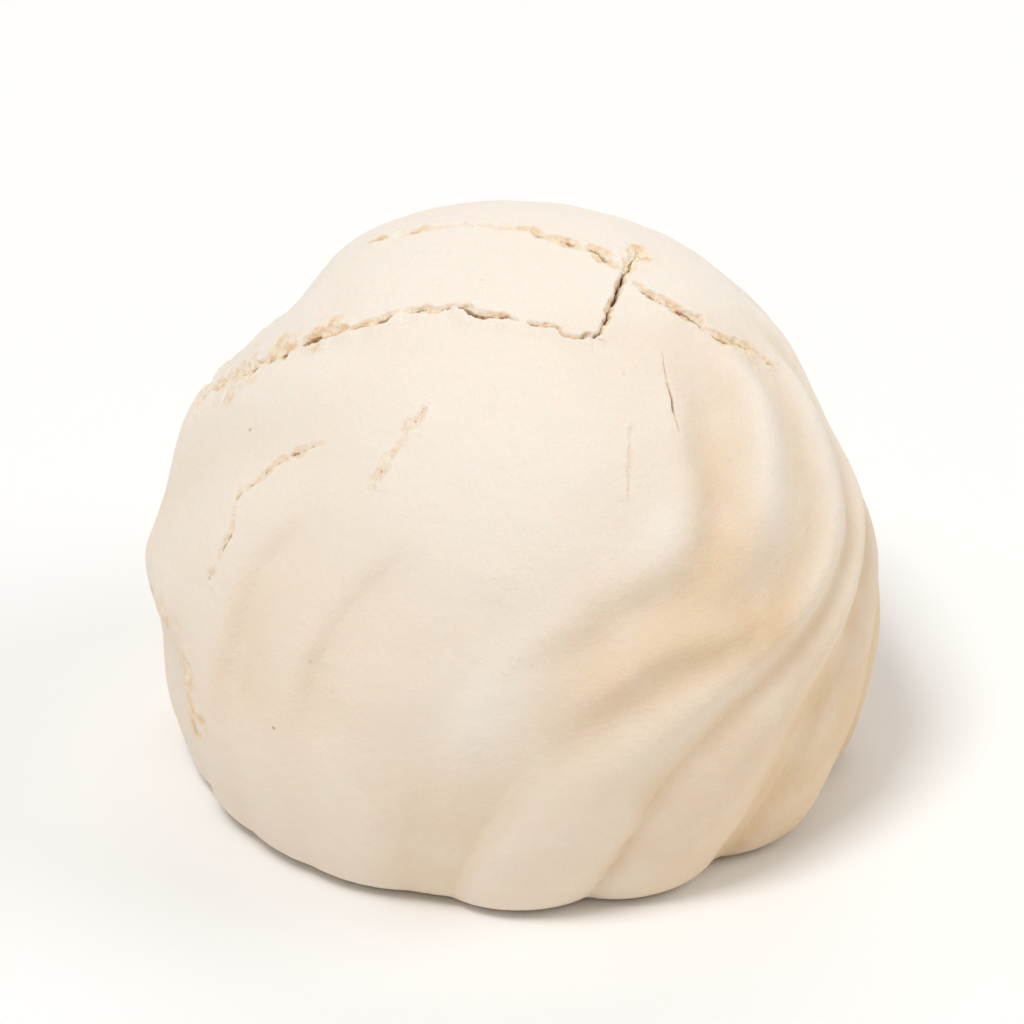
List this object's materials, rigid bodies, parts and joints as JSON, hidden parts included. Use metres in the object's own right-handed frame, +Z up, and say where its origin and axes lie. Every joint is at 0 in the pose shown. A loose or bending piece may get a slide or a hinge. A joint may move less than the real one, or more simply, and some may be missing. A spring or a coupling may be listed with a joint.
{
  "type": "meringue cookie",
  "caption": "Piped meringue cookie: a round ivory dome with soft spiral flutes, a cracked crown and a flat foot.",
  "frame": {"origin": "middle of the flat foot, on the surface that the meringue stands on", "axes": "+Z up out of the crown; -Y is the front, where the smooth lobe is; +X is to the right, where the swirl's eye leans"},
  "size_m": [0.063, 0.0634, 0.0495],
  "materials": {
    "baked_crust": null
  },
  "bodies": {
    "root": {"meringue": "baked_crust"}
  },
  "joints": []
}
